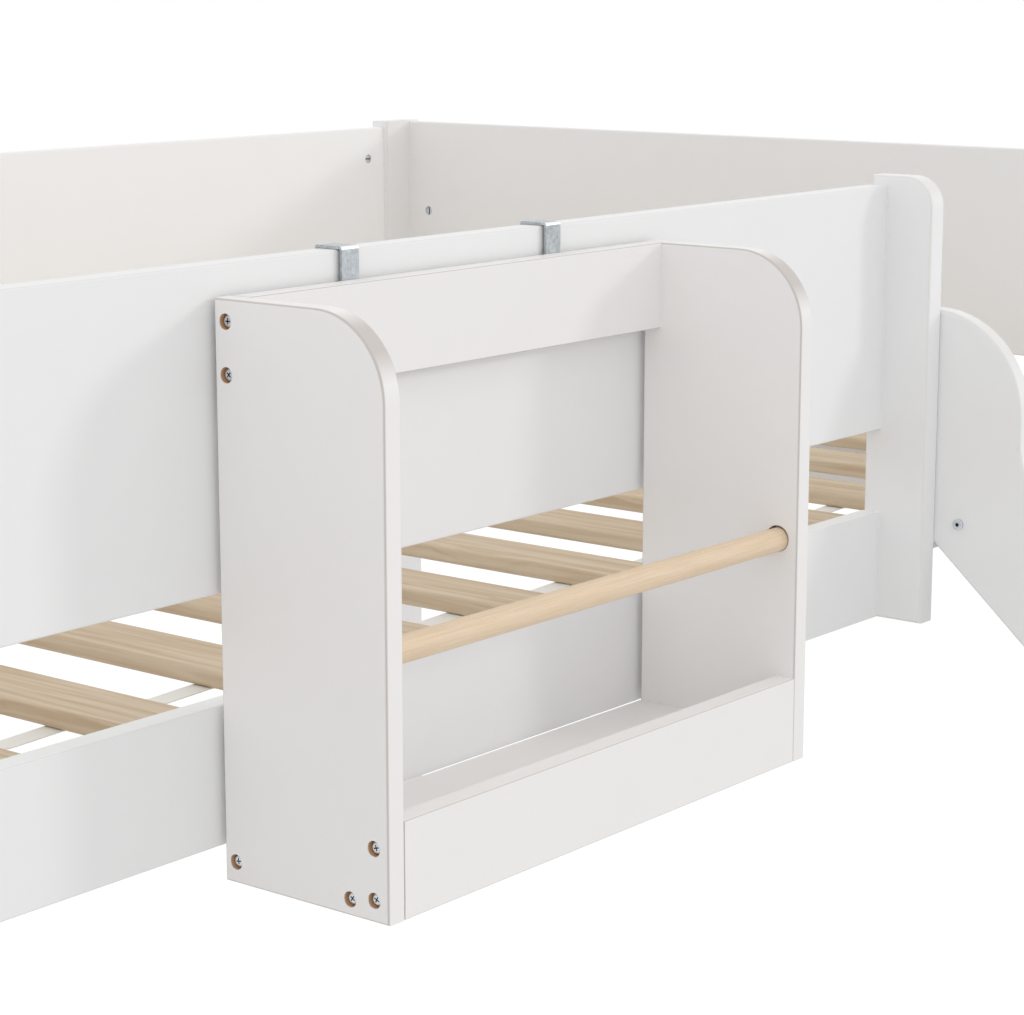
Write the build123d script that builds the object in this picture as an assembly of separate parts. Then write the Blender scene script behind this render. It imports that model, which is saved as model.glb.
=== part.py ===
from build123d import *
import os
from math import cos, radians, sin, tan

os.makedirs("parts", exist_ok=True)

# Millimetres. X runs along the bed, Y from the front to the back, Z up from the floor.
# While modelling, x = 0 is the middle of the mattress bay and y = 0 the front face of the
# front guard. Every finished piece is then moved along Y, so that the origin lies under
# the middle of the whole object.

# Mattress bay
mattress_length = 2000
mattress_width = 900
mattress_play = 20

# Painted boards of the bed
board = 18
board_arris = 1.5
guard_top = 980
guard_height = 213
rail_gap = 74
rail_height = 95
back_board_drop = 2
end_board_rise = 3.5
end_board_height = 210

# Corner legs, and the post boards beside the two front openings
leg_rise = 5
leg_arris = 2
back_leg_width = 58
back_leg_depth = 24
front_leg_width = 22
front_leg_depth = 62
post_width = 22
post_rise = 8.4
post_inset = 2
post_corner_radius = 26
post_arris = 3
opening_width = 422

# Slats, their ribbons and the ledgers below them
ledger_depth = 28
ledger_height = 30
deck_drop = 13
slat_width = 58
slat_thickness = 14
slat_count = 15
slat_arris = 3
slat_end_gap = 1
slat_far_gap = 15
slat_side_gap = 2
ribbon_width = 12
ribbon_thickness = 1
ribbon_inset = 99

# Connector bolts, barrel nuts and wooden alignment dowels of the bed's joints
bolt_diameter = 6
bolt_head_diameter = 11
bolt_head_height = 4
bolt_head_recess = 0.5
bolt_past_nut = 8
nut_diameter = 10
nut_length = 12
nut_recess = 1.5
nut_inset_long = 27
nut_inset_end = 30
guard_bolt_edge = 38
rail_bolt_shift = 12
dowel_diameter = 8
dowel_in_leg = 10
dowel_in_board = 20
rail_dowel_spread = 30
end_dowel_spread = 70
hole_play = 0.2
head_play = 0.4

# Wood screws
screw_diameter = 4
screw_head_diameter = 7.2
screw_head_height = 2.4
screw_socket = 1
screw_play = 0.1
counterbore_diameter = 10.5
counterbore_depth = 5.2
ledger_screw_length = 38
ledger_screw_pitch = 220
slat_screw_length = 35

# Slide
slide_board = 18
slide_arris = 3
slide_top_drop = 106
slide_crest_reach = 140
slide_crest_radius = 89
slide_throat_radius = 73
slide_angle = 41.4
slide_side_depth = 103
slide_heel_gap = 1
slide_run_out = 200
slide_nose_radius = 60
slide_toe_radius = 8
slide_run_radius = 250
chute_thickness = 12
chute_rise = 55
chute_run_height = 40
chute_nose_gap = 18
batten_width = 60
batten_thickness = 24
batten_first = 90
batten_pitch = 190
batten_count = 5
batten_bolt_length = 58
flat_head_diameter = 12.5
flat_head_height = 2.5
socket_diameter = 5
socket_depth = 1.5
head_board_thickness = 16
head_board_rise = 100
chute_step = 1.4
head_dowel_edge = 25
hang_bolt_length = 34
hang_bolt_inset = 22
hang_bolt_drop = 34
hang_bolt_spread = 120

# Ladder
stile_width = 22
stile_depth = 60
stile_angle = 15
stile_knee_radius = 120
tread_count = 3
tread_top_gap = 88
tread_depth = 84
tread_thickness = 22
tread_screw_spread = 44
tread_screw_length = 60

# Hanging book shelf
shelf_board = 16
shelf_arris = 2
shelf_offset = -21.5
shelf_width = 477
shelf_depth = 142.4
shelf_gap = 4
shelf_drop = 20.3
shelf_height = 384.2
shelf_corner_radius = 56
shelf_board_height = 65
shelf_bottom_depth = 126
shelf_bottom_rise = 3
shelf_bottom_thickness = 21
bottom_screw_rise = 11
shelf_screw_length = 45
screw_edge = 14.5
screw_pair_spread = 34
rear_screw_inset = 10
lip_screw_inset = 12
bottom_screw_inset = 16

# Hooks of the shelf
hook_width = 17
hook_thickness = 2
hook_spread = 219.5
hook_lip = 30
hook_seat = 0.3
hook_bend_radius = 1.5
hook_leg_drop = 42
hook_screw_drop = 12
hook_screw_spread = 18
hook_screw_length = 14
hook_screw_head = 1.6

# Loose book rail
book_rail_diameter = 18
book_rail_hole = 20
book_rail_hole_depth = 9
book_rail_end_gap = 1
book_rail_seat = 0.3
book_rail_inset = 17.4
book_rail_drop = 214.2
book_rail_arris = 1

# Lines that many pieces share
bay_x = (mattress_length + mattress_play) / 2
bay_depth = mattress_width + mattress_play
back_inner = board + bay_depth
back_outer = back_inner + board
end_outer = bay_x + board
guard_bottom = guard_top - guard_height
rail_top = guard_bottom - rail_gap
rail_bottom = rail_top - rail_height
leg_top = guard_top + leg_rise
front_leg_front = board - front_leg_depth
front_leg_inner = end_outer - front_leg_width
post_outer = front_leg_inner - opening_width
post_inner = post_outer - post_width
post_back = board - post_inset
back_leg_front = back_outer - back_leg_depth
back_leg_inner = end_outer - back_leg_width
board_middle = board / 2
back_middle = back_outer - board / 2
end_middle = end_outer - board / 2
deck_height = rail_top - deck_drop
slat_bottom = deck_height - slat_thickness
head_board_top = deck_height + head_board_rise
slide_top = guard_top - slide_top_drop
slide_heel_height = slat_bottom + slide_heel_gap

# The slide's straight lower edge: it starts at the floor, so far in front of the guard that
# the chute above it reaches the top of its head board.
slope = tan(radians(slide_angle))
slide_landing = (head_board_top - chute_step - chute_rise / cos(radians(slide_angle))) / slope
slide_nose_reach = slide_landing + slide_run_out
centre_y = (back_outer - slide_nose_reach) / 2


def block(x0, x1, y0, y1, z0, z1):
    return Pos((x0 + x1) / 2, (y0 + y1) / 2, (z0 + z1) / 2) * Box(x1 - x0, y1 - y0, z1 - z0)


def beam(axis, arris, *limits):
    """A board between six limits, with its edges along one axis rounded."""
    solid = block(*limits)
    return fillet(solid.edges().filter_by(axis), arris)


def plate(outline, corner_radii, x0, x1, arris):
    """A panel cut to a Y-Z outline, between two X limits, with both face loops rounded."""
    face = make_face(FilletPolyline(*outline, radius=corner_radii, close=True))
    solid = extrude(Plane.YZ.offset(x0) * face, amount=x1 - x0)
    if arris == 0:
        return solid
    rims = [e for f in solid.faces().filter_by(Axis.X) for e in f.outer_wire().edges()]
    return fillet(rims, arris)


def rod(start, direction, length, diameter):
    """A round bar that starts at a point and runs along a direction."""
    upright = Cylinder(diameter / 2, length, align=(Align.CENTER, Align.CENTER, Align.MIN))
    return Plane(origin=start, z_dir=direction) * upright


def step(start, direction, distance):
    return tuple(s + d * distance for s, d in zip(start, direction))


def save(solid, name):
    export_step(Pos(0, -centre_y, 0) * solid, f"parts/{name}.step")


# Joints: every board end is drawn to its leg by a bolt through the leg and a barrel nut that
# lies in a blind hole in the board's inner face, and wooden dowels stop it from turning.
frame_bolts = []
barrel_nuts = []
joint_dowels = []


def bolt_cut(start, direction, through, nut_inset):
    """Counterbore and clearance hole, from the leg's outer face to past the nut."""
    pocket = rod(start, direction, bolt_head_height + bolt_head_recess, bolt_head_diameter + head_play)
    shank = rod(start, direction, through + nut_inset + bolt_past_nut + head_play, bolt_diameter + head_play)
    return pocket + shank


def nut_cut(centre, inward):
    """Blind hole for a barrel nut, from the board's inner face."""
    mouth = step(centre, inward, board / 2)
    outward = tuple(-c for c in inward)
    return rod(mouth, outward, nut_recess + nut_length + hole_play, nut_diameter + 2 * hole_play)


def dowel_cut(seam, direction):
    back = step(seam, direction, -dowel_in_leg - hole_play)
    return rod(back, direction, dowel_in_leg + dowel_in_board + 2 * hole_play, dowel_diameter + hole_play)


def bolt_joint(start, direction, inward, through, nut_inset):
    """Adds one bolt with its nut, and returns what it takes out of the leg and the board."""
    seat = step(start, direction, bolt_head_recess)
    tip = through + nut_inset + bolt_past_nut - bolt_head_recess
    head = rod(seat, direction, bolt_head_height, bolt_head_diameter)
    socket = rod(seat, direction, socket_depth, socket_diameter)
    frame_bolts.append(head + rod(seat, direction, tip, bolt_diameter) - socket)
    centre = step(start, direction, through + nut_inset)
    face = step(centre, inward, board / 2 - nut_recess)
    outward = tuple(-c for c in inward)
    nut = rod(face, outward, nut_length, nut_diameter)
    thread_start = step(centre, direction, -nut_diameter)
    thread = rod(thread_start, direction, 2 * nut_diameter, bolt_diameter + hole_play)
    barrel_nuts.append(nut - thread)
    return [bolt_cut(start, direction, through, nut_inset), nut_cut(centre, inward)]


def dowel_joint(seam, direction):
    back = step(seam, direction, -dowel_in_leg)
    joint_dowels.append(rod(back, direction, dowel_in_leg + dowel_in_board, dowel_diameter))
    return [dowel_cut(seam, direction)]


guard_bolt_heights = [guard_top - guard_bolt_edge, guard_bottom + guard_bolt_edge]
guard_middle = guard_top - guard_height / 2
rail_middle = rail_top - rail_height / 2
rail_bolt_height = rail_middle + rail_bolt_shift
end_rail_bolt_height = rail_middle - rail_bolt_shift
end_board_top = guard_top + end_board_rise
end_board_middle = end_board_top - end_board_height / 2

# Front joints: the guard and the rail are drawn to the post boards, along X.
front_cuts = []
for side in (-1, 1):
    into_board = (-side, 0, 0)
    outer = side * post_outer
    seam = side * post_inner
    for height in guard_bolt_heights + [rail_bolt_height]:
        start = (outer, board_middle, height)
        front_cuts += bolt_joint(start, into_board, (0, 1, 0), post_width, nut_inset_long)
    front_cuts += dowel_joint((seam, board_middle, guard_middle), into_board)
    for offset in (-rail_dowel_spread, rail_dowel_spread):
        front_cuts += dowel_joint((seam, board_middle, rail_middle + offset), into_board)

# Back joints: the back board and the back rail are drawn to the back legs, along X.
back_cuts = []
for side in (-1, 1):
    into_board = (-side, 0, 0)
    outer = side * end_outer
    seam = side * back_leg_inner
    for height in guard_bolt_heights + [rail_bolt_height]:
        start = (outer, back_middle, height)
        back_cuts += bolt_joint(start, into_board, (0, -1, 0), back_leg_width, nut_inset_long)
    back_cuts += dowel_joint((seam, back_middle, guard_middle), into_board)
    for offset in (-rail_dowel_spread, rail_dowel_spread):
        back_cuts += dowel_joint((seam, back_middle, rail_middle + offset), into_board)

# End joints: the end boards and end rails are drawn to the front and back legs, along Y.
end_cuts = []
for side in (-1, 1):
    line = side * end_middle
    inward = (-side, 0, 0)
    for bolt_height, middle, spread in (
        (end_board_middle, end_board_middle, end_dowel_spread),
        (end_rail_bolt_height, rail_middle, rail_dowel_spread),
    ):
        front_start = (line, front_leg_front, bolt_height)
        back_start = (line, back_outer, bolt_height)
        end_cuts += bolt_joint(front_start, (0, 1, 0), inward, front_leg_depth, nut_inset_end)
        end_cuts += bolt_joint(back_start, (0, -1, 0), inward, back_leg_depth, nut_inset_end)
        for offset in (-spread, spread):
            end_cuts += dowel_joint((line, board, middle + offset), (0, 1, 0))
            end_cuts += dowel_joint((line, back_leg_front, middle + offset), (0, -1, 0))

left_end_cuts = end_cuts[: len(end_cuts) // 2]
right_end_cuts = end_cuts[len(end_cuts) // 2 :]

# Head boards: they close the two openings up to the mattress and are doweled between the
# slide's side panels and between the ladder's stiles.
slide_left_inner = post_outer + slide_board
slide_right_inner = front_leg_inner - slide_board
stile_left_inner = stile_width - front_leg_inner
stile_right_inner = -post_outer - stile_width
head_cuts = []
for x0, x1, low in (
    (stile_left_inner, stile_right_inner, rail_bottom),
    (slide_left_inner, slide_right_inner, slide_heel_height),
):
    for seam, direction in ((x0, (1, 0, 0)), (x1, (-1, 0, 0))):
        for height in (low + head_dowel_edge, head_board_top - head_dowel_edge):
            head_cuts += dowel_joint((seam, head_board_thickness / 2, height), direction)
save(Compound(frame_bolts), "frame_bolts")
save(Compound(barrel_nuts), "barrel_nuts")
save(Compound(joint_dowels), "joint_dowels")

# Hang bolts: they hold the slide and the ladder to the post boards and the front legs. Each
# one starts on the inner face of a side panel or stile and ends in a blind hole.
hang_bolts = []
hang_cuts = []


def flat_bolt(start, direction, length):
    """A furniture bolt whose low head rests on the surface that it starts at."""
    under = step(start, direction, -flat_head_height)
    head = rod(under, direction, flat_head_height, flat_head_diameter)
    socket = rod(under, direction, socket_depth, socket_diameter)
    return head + rod(start, direction, length, bolt_diameter) - socket


for opening in (-1, 1):
    panel = slide_board if opening == 1 else stile_width
    for edge, away in ((post_outer, -1), (front_leg_inner, 1)):
        direction = (opening * away, 0, 0)
        start_x = opening * (edge - away * panel)
        for drop in (hang_bolt_drop, hang_bolt_drop + hang_bolt_spread):
            start = (start_x, -hang_bolt_inset, slide_top - drop)
            hang_bolts.append(flat_bolt(start, direction, hang_bolt_length))
            hang_cuts.append(rod(start, direction, hang_bolt_length + hole_play, bolt_diameter + hole_play))
save(Compound(hang_bolts), "hang_bolts")

# Corner legs: solid wood, with rounded arrises.
for side, name, cuts in ((-1, "left", left_end_cuts), (1, "right", right_end_cuts)):
    inner, outer = sorted((side * front_leg_inner, side * end_outer))
    leg = beam(Axis.Z, leg_arris, inner, outer, front_leg_front, board, 0, leg_top)
    save(leg - (cuts + hang_cuts), f"leg_front_{name}")
    inner, outer = sorted((side * back_leg_inner, side * end_outer))
    leg = beam(Axis.Z, leg_arris, inner, outer, back_leg_front, back_outer, 0, leg_top)
    save(leg - (cuts + back_cuts), f"leg_back_{name}")

# Post boards: they end the guard beside each opening, with a rounded upper front corner.
post_outline = [
    (front_leg_front, rail_bottom),
    (post_back, rail_bottom),
    (post_back, guard_top + post_rise),
    (front_leg_front, guard_top + post_rise),
]
for side, name in ((-1, "left"), (1, "right")):
    inner, outer = sorted((side * post_inner, side * post_outer))
    post = plate(post_outline, [0, 0, 0, post_corner_radius], inner, outer, post_arris)
    save(post - (front_cuts + hang_cuts), f"post_board_{name}")

# Long boards
front_guard = beam(Axis.X, board_arris, -post_inner, post_inner, 0, board, guard_bottom, guard_top)
save(front_guard - front_cuts, "front_guard")
front_rail = beam(Axis.X, board_arris, -post_inner, post_inner, 0, board, rail_bottom, rail_top)
back_board_limits = (-back_leg_inner, back_leg_inner, back_inner, back_outer)
back_board = beam(
    Axis.X, board_arris, *back_board_limits, guard_bottom - back_board_drop, guard_top - back_board_drop
)
save(back_board - back_cuts, "back_board")
back_rail = beam(Axis.X, board_arris, *back_board_limits, rail_bottom, rail_top)

# Ledgers: full-length battens between the end rails, screwed to the front and back rails.
ledger_top = slat_bottom
ledger_bottom = ledger_top - ledger_height
ledger_middle = ledger_top - ledger_height / 2
front_ledger = beam(
    Axis.X, board_arris, -bay_x, bay_x, board, board + ledger_depth, ledger_bottom, ledger_top
)
back_ledger = beam(
    Axis.X, board_arris, -bay_x, bay_x, back_inner - ledger_depth, back_inner, ledger_bottom, ledger_top
)
for side in (-1, 1):
    inner, outer = sorted((side * back_leg_inner, side * end_outer))
    back_ledger = back_ledger - block(inner, outer, back_leg_front, back_outer, ledger_bottom, ledger_top)


def wood_screw(start, direction, length):
    """A pan-head screw that starts at the surface its head rests on."""
    under = step(start, direction, -screw_head_height)
    head = rod(under, direction, screw_head_height, screw_head_diameter)
    socket = rod(under, direction, screw_socket, screw_diameter / 2)
    return head + rod(start, direction, length, screw_diameter) - socket


def screw_cut(start, direction, length):
    return rod(start, direction, length + screw_play, screw_diameter + 2 * screw_play)


def sunk_screw(mouth, direction, length):
    """A screw whose head lies in a counterbore, and what it takes out of the boards."""
    seat = step(mouth, direction, counterbore_depth)
    pocket = rod(mouth, direction, counterbore_depth, counterbore_diameter)
    return wood_screw(seat, direction, length), [pocket, screw_cut(seat, direction, length)]


def flush_screw(start, direction, length):
    """A countersunk screw, level with the surface it starts at, and what it takes out."""
    above = Plane(origin=start, z_dir=direction)
    upright = (Align.CENTER, Align.CENTER, Align.MIN)
    head = above * Cone(screw_head_diameter / 2, screw_diameter / 2, hook_screw_head, align=upright)
    seat_wide = screw_head_diameter / 2 + screw_play
    seat_narrow = screw_diameter / 2 + screw_play
    seat = above * Cone(seat_wide, seat_narrow, hook_screw_head, align=upright)
    socket = rod(start, direction, screw_socket, screw_diameter / 2)
    screw = head + rod(start, direction, length, screw_diameter) - socket
    return screw, seat + screw_cut(start, direction, length)


ledger_screws = []
ledger_cuts = []
ledger_screw_count = int(2 * post_inner // ledger_screw_pitch)
for i in range(ledger_screw_count):
    x = (i - (ledger_screw_count - 1) / 2) * ledger_screw_pitch
    for y, direction in ((board + ledger_depth, (0, -1, 0)), (back_inner - ledger_depth, (0, 1, 0))):
        start = (x, y, ledger_middle)
        ledger_screws.append(wood_screw(start, direction, ledger_screw_length))
        ledger_cuts.append(screw_cut(start, direction, ledger_screw_length))
save(Compound(ledger_screws), "ledger_screws")
save(front_rail - (front_cuts + ledger_cuts), "front_rail")
save(back_rail - (back_cuts + ledger_cuts), "back_rail")

# End boards and end rails
for side, name, cuts in ((-1, "left", left_end_cuts), (1, "right", right_end_cuts)):
    inner, outer = sorted((side * bay_x, side * end_outer))
    end_limits = (inner, outer, board, back_leg_front)
    end_board = beam(Axis.Y, board_arris, *end_limits, end_board_top - end_board_height, end_board_top)
    save(end_board - cuts, f"end_board_{name}")
    end_rail = beam(Axis.Y, board_arris, *end_limits, rail_bottom, rail_top)
    save(end_rail - cuts, f"end_rail_{name}")

# Slats: loose pine slats on the ledgers, linked by two ribbons, the outermost ones screwed.
slats = []
slat_pitch = (2 * bay_x - slat_end_gap - slat_far_gap - slat_width) / (slat_count - 1)
slat_starts = [bay_x - slat_end_gap - slat_width - i * slat_pitch for i in range(slat_count)]
for x in slat_starts:
    slats.append(
        beam(
            Axis.Y, slat_arris, x, x + slat_width, board + slat_side_gap, back_leg_front - slat_side_gap,
            slat_bottom, deck_height,
        )
    )
slat_screws = []
slat_cuts = []
for x in (slat_starts[0] + slat_width / 2, slat_starts[-1] + slat_width / 2):
    for y in (board + ledger_depth / 2, back_inner - ledger_depth / 2):
        slat_screws.append(wood_screw((x, y, deck_height), (0, 0, -1), slat_screw_length))
        slat_cuts.append(screw_cut((x, y, deck_height), (0, 0, -1), slat_screw_length))
end_slats = [slat - slat_cuts for slat in (slats[0], slats[-1])]
save(Compound([end_slats[0]] + slats[1:-1] + [end_slats[1]]), "slats")
save(Compound(slat_screws), "slat_screws")
save(front_ledger - (ledger_cuts + slat_cuts), "ledger_front")
save(back_ledger - (ledger_cuts + slat_cuts), "ledger_back")

ribbons = []
for y in (board + ribbon_inset, back_inner - ribbon_inset):
    ribbons.append(
        block(
            slat_starts[-1], slat_starts[0] + slat_width, y - ribbon_width / 2, y + ribbon_width / 2,
            slat_bottom - ribbon_thickness, slat_bottom,
        )
    )
save(Compound(ribbons), "slat_ribbons")

# Slide: heights along the slope are measured at right angles to the straight lower edge.
def slope_z(y, rise):
    """Height at y of the line that lies a rise above the slide's lower edge."""
    return (y + slide_landing) * slope + rise / cos(radians(slide_angle))


def slope_y(z, rise):
    return (z - rise / cos(radians(slide_angle))) / slope - slide_landing


slide_crest = post_back - slide_crest_reach
side_rise = slide_side_depth - chute_rise
side_run_height = chute_run_height + side_rise
slide_outline = [
    (post_back, slide_heel_height),
    (post_back, slide_top),
    (slide_crest, slide_top),
    (slide_crest, slope_z(slide_crest, slide_side_depth)),
    (slope_y(side_run_height, slide_side_depth), side_run_height),
    (-slide_nose_reach, side_run_height),
    (-slide_nose_reach, 0),
    (-slide_landing, 0),
    (slope_y(slide_heel_height, 0), slide_heel_height),
]
slide_corner_radii = [
    0, 0, slide_crest_radius, slide_throat_radius, slide_run_radius - side_rise, slide_nose_radius,
    slide_toe_radius, 0, 0,
]

# Chute: a thin panel between the sides that bends into a level run-out.
chute_under = chute_rise - chute_thickness
chute_run_under = chute_run_height - chute_thickness
chute_end = chute_nose_gap - slide_nose_reach
chute_outline = [
    (0, slope_z(0, chute_rise)),
    (slope_y(chute_run_height, chute_rise), chute_run_height),
    (chute_end, chute_run_height),
    (chute_end, chute_run_under),
    (slope_y(chute_run_under, chute_under), chute_run_under),
    (0, slope_z(0, chute_under)),
]
chute_radii = [0, slide_run_radius, 0, 0, slide_run_radius + chute_thickness, 0]
save(plate(chute_outline, chute_radii, slide_left_inner, slide_right_inner, 0), "slide_chute")

# Battens under the chute, each held by one bolt through each side panel, and one more under
# the level run-out.
battens = []
slide_bolts = []
batten_cuts = []


def add_batten(y, z, along):
    """A batten between the sides, centred at y and z, with its width along a direction."""
    profile = Plane(origin=(slide_left_inner, y, z), x_dir=along, z_dir=(1, 0, 0)) * Rectangle(
        batten_width, batten_thickness
    )
    cuts = []
    for start_x, direction in ((post_outer, (1, 0, 0)), (front_leg_inner, (-1, 0, 0))):
        start = (start_x, y, z)
        slide_bolts.append(flat_bolt(start, direction, batten_bolt_length))
        cuts.append(rod(start, direction, batten_bolt_length + hole_play, bolt_diameter + hole_play))
    batten_cuts.extend(cuts)
    battens.append(extrude(profile, amount=slide_right_inner - slide_left_inner) - cuts)


down_slope = (0, -cos(radians(slide_angle)), -sin(radians(slide_angle)))
for i in range(batten_count):
    batten_y = (batten_first + i * batten_pitch) * down_slope[1]
    add_batten(batten_y, slope_z(batten_y, chute_under - batten_thickness / 2), down_slope)
add_batten(chute_end + batten_width, chute_run_under - batten_thickness / 2, (0, -1, 0))
save(Compound(battens), "slide_battens")
save(Compound(slide_bolts), "slide_bolts")

for name, x0, x1 in (
    ("left", post_outer, slide_left_inner),
    ("right", slide_right_inner, front_leg_inner),
):
    panel = plate(slide_outline, slide_corner_radii, x0, x1, slide_arris)
    save(panel - (batten_cuts + hang_cuts + head_cuts), f"slide_side_{name}")
head_board_limits = (slide_left_inner, slide_right_inner, 0, head_board_thickness)
slide_head = beam(Axis.X, board_arris, *head_board_limits, slide_heel_height, head_board_top)
save(slide_head - head_cuts, "slide_head_board")

# Ladder: stiles that stand upright against the leg and the post board, then slant forward.
stile_knee = rail_bottom
foot_reach = stile_knee * tan(radians(stile_angle))
stile_front = post_back - stile_depth
stile_outline = [
    (post_back, stile_knee),
    (post_back, slide_top),
    (stile_front, slide_top),
    (stile_front, stile_knee),
    (stile_front - foot_reach, 0),
    (post_back - foot_reach, 0),
]
tread_rise = (rail_bottom - tread_top_gap) / tread_count
stile_radii = [stile_knee_radius, 0, post_corner_radius, stile_knee_radius, 0, 0]
ladder_screws = []
ladder_cuts = []
for i in range(tread_count):
    top = (i + 1) * tread_rise
    z = top - tread_thickness / 2
    y = post_back - stile_depth / 2 - (stile_knee - z) * tan(radians(stile_angle))
    tread = beam(
        Axis.X, slat_arris, stile_left_inner, stile_right_inner, y - tread_depth / 2, y + tread_depth / 2,
        top - tread_thickness, top,
    )
    cuts = []
    for start_x, direction in ((-front_leg_inner, (1, 0, 0)), (-post_outer, (-1, 0, 0))):
        for offset in (-tread_screw_spread / 2, tread_screw_spread / 2):
            mouth = (start_x, y + offset, z)
            screw, screw_cuts = sunk_screw(mouth, direction, tread_screw_length)
            ladder_screws.append(screw)
            cuts += screw_cuts
    ladder_cuts += cuts
    save(tread - cuts, f"ladder_tread_{i + 1}")
save(Compound(ladder_screws), "ladder_screws")
for name, x0, x1 in (
    ("left", -front_leg_inner, stile_left_inner),
    ("right", stile_right_inner, -post_outer),
):
    stile = plate(stile_outline, stile_radii, x0, x1, slide_arris)
    save(stile - (ladder_cuts + hang_cuts + head_cuts), f"ladder_stile_{name}")
ladder_head_limits = (stile_left_inner, stile_right_inner, 0, head_board_thickness)
ladder_head = beam(Axis.X, board_arris, *ladder_head_limits, rail_bottom, head_board_top)
save(ladder_head - head_cuts, "ladder_head_board")

# Hanging book shelf: two side panels with an upper board, a bottom board and a lip between.
shelf_left = shelf_offset - shelf_width / 2
shelf_right = shelf_offset + shelf_width / 2
shelf_rear = -shelf_gap
shelf_front = shelf_rear - shelf_depth
shelf_top = guard_top - shelf_drop
shelf_foot = shelf_top - shelf_height
shelf_outline = [
    (shelf_rear, shelf_foot),
    (shelf_rear, shelf_top),
    (shelf_front, shelf_top),
    (shelf_front, shelf_foot),
]
shelf_inner_left = shelf_left + shelf_board
shelf_inner_right = shelf_right - shelf_board
bottom_low = shelf_foot + shelf_bottom_rise
lip_rear = shelf_rear - shelf_bottom_depth
rear_screw_y = shelf_rear - rear_screw_inset
lip_screw_y = shelf_front + lip_screw_inset
shelf_screw_places = [
    (rear_screw_y, shelf_top - screw_edge),
    (rear_screw_y, shelf_top - screw_edge - screw_pair_spread),
    (rear_screw_y, shelf_foot + screw_edge),
    (lip_rear + bottom_screw_inset, shelf_foot + bottom_screw_rise),
    (lip_screw_y, shelf_foot + screw_edge + screw_pair_spread),
    (lip_screw_y, shelf_foot + screw_edge),
]
shelf_screws = []
shelf_cuts = []
for start_x, direction in ((shelf_left, (1, 0, 0)), (shelf_right, (-1, 0, 0))):
    for y, z in shelf_screw_places:
        screw, screw_cuts = sunk_screw((start_x, y, z), direction, shelf_screw_length)
        shelf_screws.append(screw)
        shelf_cuts += screw_cuts
save(Compound(shelf_screws), "shelf_screws")

# Book rail: a loose dowel that lies low in two blind holes of the side panels.
rail_hole_y = shelf_front + book_rail_inset
rail_hole_z = shelf_top - book_rail_drop
rail_z = rail_hole_z - (book_rail_hole - book_rail_diameter) / 2 + book_rail_seat
rail_reach = book_rail_hole_depth - book_rail_end_gap
rail_length = shelf_inner_right - shelf_inner_left + 2 * rail_reach
rail_start = (shelf_inner_left - rail_reach, rail_hole_y, rail_z)
book_rail = rod(rail_start, (1, 0, 0), rail_length, book_rail_diameter)
save(chamfer(book_rail.edges().filter_by(GeomType.CIRCLE), book_rail_arris), "book_rail")

for name, x0, x1, face_x, outward in (
    ("left", shelf_left, shelf_inner_left, shelf_inner_left, (-1, 0, 0)),
    ("right", shelf_inner_right, shelf_right, shelf_inner_right, (1, 0, 0)),
):
    panel = plate(shelf_outline, [0, 0, shelf_corner_radius, 0], x0, x1, shelf_arris)
    socket = rod((face_x, rail_hole_y, rail_hole_z), outward, book_rail_hole_depth, book_rail_hole)
    save(panel - (shelf_cuts + [socket]), f"shelf_side_{name}")

# Hooks: zinc strips bent over the guard, whose legs are screwed on the upper board's rear.
hook_screws = []
hook_cuts = []
hooks = []
hook_inner = shelf_rear + hook_thickness
hook_back = board + hook_seat + hook_thickness
hook_top = guard_top + hook_seat + hook_thickness
leg_end = shelf_top - hook_leg_drop
hook_outline = [
    (shelf_rear, leg_end),
    (hook_inner, leg_end),
    (hook_inner, hook_top - hook_thickness),
    (hook_back - hook_thickness, hook_top - hook_thickness),
    (hook_back - hook_thickness, hook_top - hook_lip),
    (hook_back, hook_top - hook_lip),
    (hook_back, hook_top),
    (shelf_rear, hook_top),
]
outer_bend = hook_bend_radius + hook_thickness / 2
hook_radii = [0, 0, 0, 0, 0, 0, outer_bend, outer_bend]
for side in (-1, 1):
    x = shelf_offset + side * hook_spread / 2
    hook = plate(hook_outline, hook_radii, x - hook_width / 2, x + hook_width / 2, 0)
    for drop in (hook_screw_drop, hook_screw_drop + hook_screw_spread):
        screw, cut = flush_screw((x, hook_inner, shelf_top - drop), (0, -1, 0), hook_screw_length)
        hook_screws.append(screw)
        hook_cuts.append(cut)
    hooks.append(hook - hook_cuts[-2:])
save(Compound(hooks), "shelf_hooks")
save(Compound(hook_screws), "hook_screws")

inner_limits = (shelf_inner_left, shelf_inner_right)
upper = beam(
    Axis.X, shelf_arris / 2, *inner_limits, shelf_rear - shelf_board, shelf_rear,
    shelf_top - shelf_board_height, shelf_top,
)
save(upper - (shelf_cuts + hook_cuts), "shelf_upper_board")
bottom = block(*inner_limits, lip_rear, shelf_rear, bottom_low, bottom_low + shelf_bottom_thickness)
save(bottom - shelf_cuts, "shelf_bottom_board")
lip = beam(
    Axis.X, shelf_arris / 2, *inner_limits, shelf_front, lip_rear, shelf_foot, shelf_foot + shelf_board_height
)
save(lip - shelf_cuts, "shelf_lip")
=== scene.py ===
import bmesh
import bpy
from math import cos, pi, radians, sin
from mathutils import Matrix, Vector


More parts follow.
